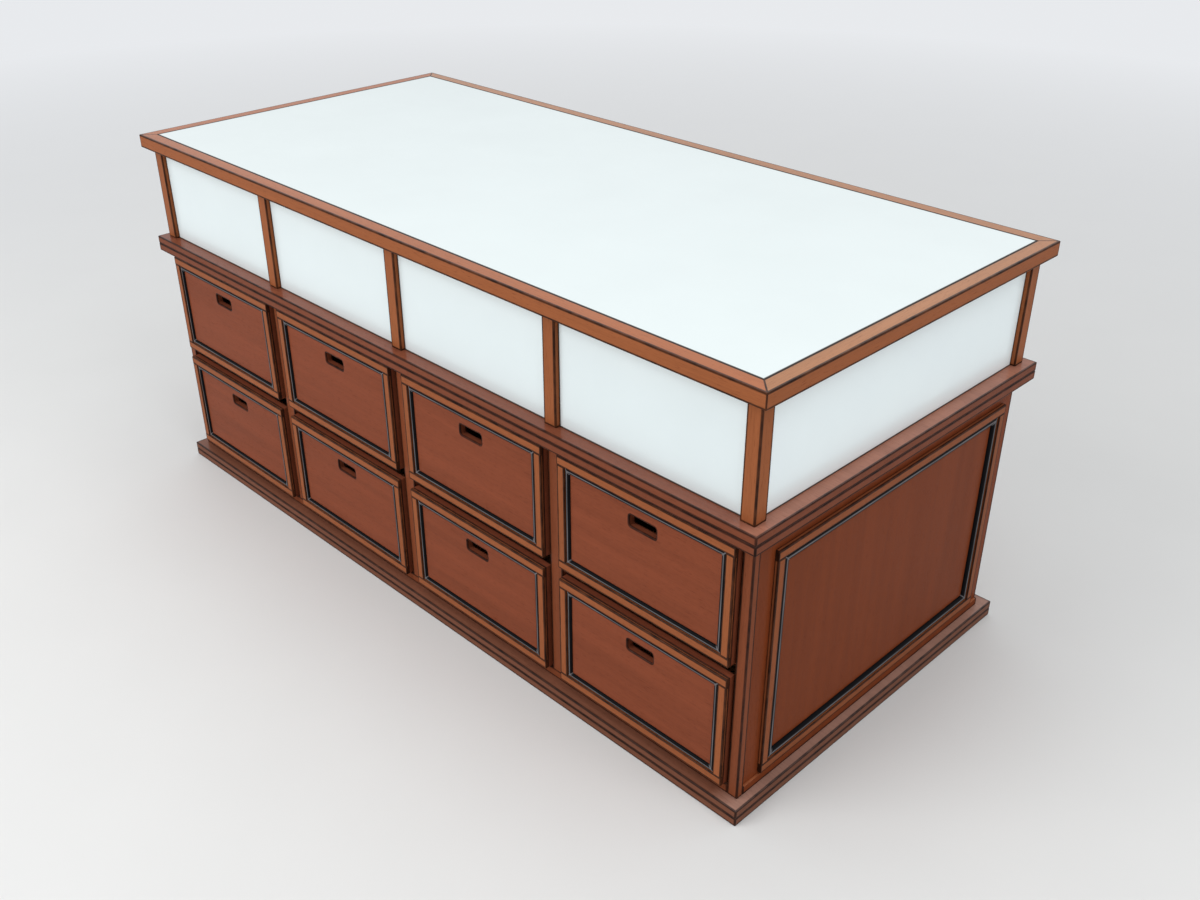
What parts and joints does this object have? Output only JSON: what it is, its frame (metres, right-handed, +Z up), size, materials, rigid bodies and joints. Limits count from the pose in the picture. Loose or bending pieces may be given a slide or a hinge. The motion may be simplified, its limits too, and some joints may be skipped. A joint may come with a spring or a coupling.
{
  "type": "display counter",
  "caption": "Wooden shop counter on a plinth: framed drawers with hand slots below, and a low opal-glass showcase with sliding rear doors on its deck.",
  "frame": {"origin": "middle of the plinth's underside, on the floor", "axes": "+X along the counter, +Y from the drawer side to the sliding doors, +Z up"},
  "size_m": [2, 0.932, 0.926],
  "materials": {
    "board": "satin lacquered reddish brown hardwood",
    "stile": "satin lacquered reddish brown hardwood",
    "frame": "satin lacquered orange brown hardwood, its bead stained near black",
    "front": "satin lacquered dark red brown veneer",
    "end": "satin lacquered dark red brown veneer",
    "inside": "pale plain wood, sealed",
    "post": "satin lacquered reddish brown hardwood",
    "opal": "opal white glass, polished, not see-through"
  },
  "bodies": {
    "cabinet": {"plinth_lower_board": "board", "plinth_upper_board": "board", "cornice_lower_board": "board", "cornice_upper_board": "board", "corner_stile_left": "stile", "corner_stile_right": "stile", "bottom_rail": "stile", "middle_rail": "stile", "partition_1": "stile", "partition_2": "stile", "partition_3": "stile", "end_board_left": "end", "end_board_right": "end", "end_frame_left": "frame", "end_frame_right": "frame", "back_panel": "end", "front_post_left": "post", "front_post_right": "post", "rear_post_left": "post", "rear_post_right": "post", "mullion_1": "post", "mullion_2": "post", "mullion_3": "post", "top_rail_front": "post", "top_rail_right": "post", "top_rail_rear": "post", "top_rail_left": "post", "top_pane": "opal", "front_pane_1": "opal", "front_pane_2": "opal", "front_pane_3": "opal", "front_pane_4": "opal", "end_pane_left": "opal", "end_pane_right": "opal"},
    "drawer_lower_1": {"drawer_front_lower_1": "front", "drawer_frame_lower_1": "frame", "drawer_box_lower_1": "inside"},
    "drawer_lower_2": {"drawer_front_lower_2": "front", "drawer_frame_lower_2": "frame", "drawer_box_lower_2": "inside"},
    "drawer_lower_3": {"drawer_front_lower_3": "front", "drawer_frame_lower_3": "frame", "drawer_box_lower_3": "inside"},
    "drawer_lower_4": {"drawer_front_lower_4": "front", "drawer_frame_lower_4": "frame", "drawer_box_lower_4": "inside"},
    "drawer_upper_1": {"drawer_front_upper_1": "front", "drawer_frame_upper_1": "frame", "drawer_box_upper_1": "inside"},
    "drawer_upper_2": {"drawer_front_upper_2": "front", "drawer_frame_upper_2": "frame", "drawer_box_upper_2": "inside"},
    "drawer_upper_3": {"drawer_front_upper_3": "front", "drawer_frame_upper_3": "frame", "drawer_box_upper_3": "inside"},
    "drawer_upper_4": {"drawer_front_upper_4": "front", "drawer_frame_upper_4": "frame", "drawer_box_upper_4": "inside"},
    "door_left": {"rear_door_left": "opal"},
    "door_right": {"rear_door_right": "opal"}
  },
  "joints": [
    {"name": "drawer_lower_1_slide", "type": "slide", "parent": "cabinet", "child": "drawer_lower_1", "axis": [0, -1, 0], "range_m": [0, 0.5]},
    {"name": "drawer_lower_2_slide", "type": "slide", "parent": "cabinet", "child": "drawer_lower_2", "axis": [0, -1, 0], "range_m": [0, 0.5]},
    {"name": "drawer_lower_3_slide", "type": "slide", "parent": "cabinet", "child": "drawer_lower_3", "axis": [0, -1, 0], "range_m": [0, 0.5]},
    {"name": "drawer_lower_4_slide", "type": "slide", "parent": "cabinet", "child": "drawer_lower_4", "axis": [0, -1, 0], "range_m": [0, 0.5]},
    {"name": "drawer_upper_1_slide", "type": "slide", "parent": "cabinet", "child": "drawer_upper_1", "axis": [0, -1, 0], "range_m": [0, 0.5]},
    {"name": "drawer_upper_2_slide", "type": "slide", "parent": "cabinet", "child": "drawer_upper_2", "axis": [0, -1, 0], "range_m": [0, 0.5]},
    {"name": "drawer_upper_3_slide", "type": "slide", "parent": "cabinet", "child": "drawer_upper_3", "axis": [0, -1, 0], "range_m": [0, 0.5]},
    {"name": "drawer_upper_4_slide", "type": "slide", "parent": "cabinet", "child": "drawer_upper_4", "axis": [0, -1, 0], "range_m": [0, 0.5]},
    {"name": "door_left_slide", "type": "slide", "parent": "cabinet", "child": "door_left", "axis": [1, 0, 0], "range_m": [0, 0.929]},
    {"name": "door_right_slide", "type": "slide", "parent": "cabinet", "child": "door_right", "axis": [1, 0, 0], "range_m": [-0.929, 0]}
  ]
}
